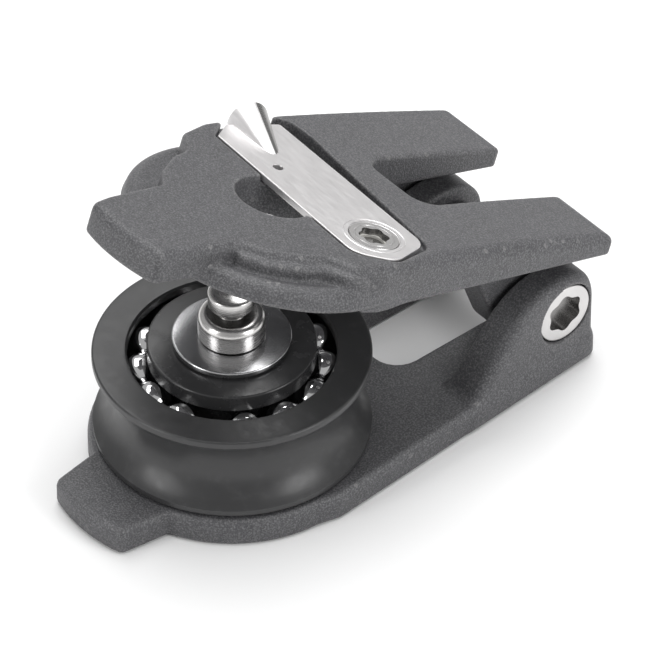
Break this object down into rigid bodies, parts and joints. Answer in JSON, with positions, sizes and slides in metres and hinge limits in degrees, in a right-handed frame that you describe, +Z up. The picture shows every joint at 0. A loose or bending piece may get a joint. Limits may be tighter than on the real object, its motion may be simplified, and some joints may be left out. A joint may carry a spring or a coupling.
{
  "type": "single sheave snatch block",
  "caption": "Snatch block with two hinged cheeks, a ball-bearing rope sheave on a centre post, and a side-swinging latch plate that locks over the post.",
  "frame": {"origin": "on the sheave axis, in the flat underside of the lower cheek, at the flush end of the centre post", "axes": "+Z up along the sheave axis, +Y towards the hinge, X along the hinge pin"},
  "size_m": [0.0616, 0.12, 0.0748],
  "materials": {
    "nylon": "moulded glass-filled nylon, fine matte grain",
    "sheave_black": "turned acetal, satin",
    "race_black": "polished hard black",
    "steel_bright": "bright turned stainless steel",
    "steel_washer": "polished stainless steel",
    "steel_satin": "satin stainless steel",
    "ball_steel": "polished bearing steel",
    "spring_steel": "spring wire",
    "bush_plastic": "natural acetal"
  },
  "bodies": {
    "root": {"lower_cheek": "nylon", "centre_post": "steel_bright", "post_nut": "steel_satin", "inner_race_lower": "race_black", "inner_race_upper": "race_black", "race_washer": "steel_washer"},
    "sheave": {"sheave": "sheave_black"},
    "balls": {"upper_ball_01": "ball_steel", "upper_ball_02": "ball_steel", "upper_ball_03": "ball_steel", "upper_ball_04": "ball_steel", "upper_ball_05": "ball_steel", "upper_ball_06": "ball_steel", "upper_ball_07": "ball_steel", "upper_ball_08": "ball_steel", "upper_ball_09": "ball_steel", "upper_ball_10": "ball_steel", "upper_ball_11": "ball_steel", "upper_ball_12": "ball_steel", "upper_ball_13": "ball_steel", "lower_ball_01": "ball_steel", "lower_ball_02": "ball_steel", "lower_ball_03": "ball_steel", "lower_ball_04": "ball_steel", "lower_ball_05": "ball_steel", "lower_ball_06": "ball_steel", "lower_ball_07": "ball_steel", "lower_ball_08": "ball_steel", "lower_ball_09": "ball_steel", "lower_ball_10": "ball_steel", "lower_ball_11": "ball_steel", "lower_ball_12": "ball_steel", "lower_ball_13": "ball_steel"},
    "hinge_axle": {"hinge_axle": "steel_satin", "hinge_bolt_near": "steel_bright", "hinge_bolt_far": "steel_bright", "hinge_spacer": "sheave_black"},
    "upper_cheek": {"upper_cheek": "nylon", "hinge_bush_near": "bush_plastic", "hinge_bush_far": "bush_plastic", "hinge_washer_near": "bush_plastic", "hinge_washer_far": "bush_plastic", "latch_screw": "steel_bright", "latch_sleeve": "bush_plastic", "latch_nut": "steel_satin", "latch_spring": "spring_steel"},
    "latch": {"latch": "steel_satin"}
  },
  "joints": [
    {"name": "sheave_spin", "type": "hinge", "parent": "root", "child": "sheave", "pos_m": [0, 0, 0.01685], "axis": [0, 0, 1], "continuous": true},
    {"name": "ball_orbit", "type": "hinge", "parent": "root", "child": "balls", "pos_m": [0, 0, 0.01685], "axis": [0, 0, 1], "continuous": true},
    {"name": "cheek_open", "type": "hinge", "parent": "root", "child": "hinge_axle", "pos_m": [0, 0.067, 0.0159], "axis": [-1, 0, 0], "range_deg": [0, 75]},
    {"name": "cheek_close", "type": "hinge", "parent": "hinge_axle", "child": "upper_cheek", "pos_m": [0, 0.067, 0.0159], "axis": [-1, 0, 0], "range_deg": [-20, 0]},
    {"name": "latch_swing", "type": "hinge", "parent": "upper_cheek", "child": "latch", "pos_m": [0.01785, 0.02235, 0.05652], "axis": [0, -0.342, -0.9397], "range_deg": [0, 6.25]}
  ],
  "couplings": [
    {"joint": "ball_orbit", "follows": "sheave_spin", "ratio": 0.613},
    {"joint": "latch_swing", "follows": "cheek_close", "ratio": -0.31}
  ]
}
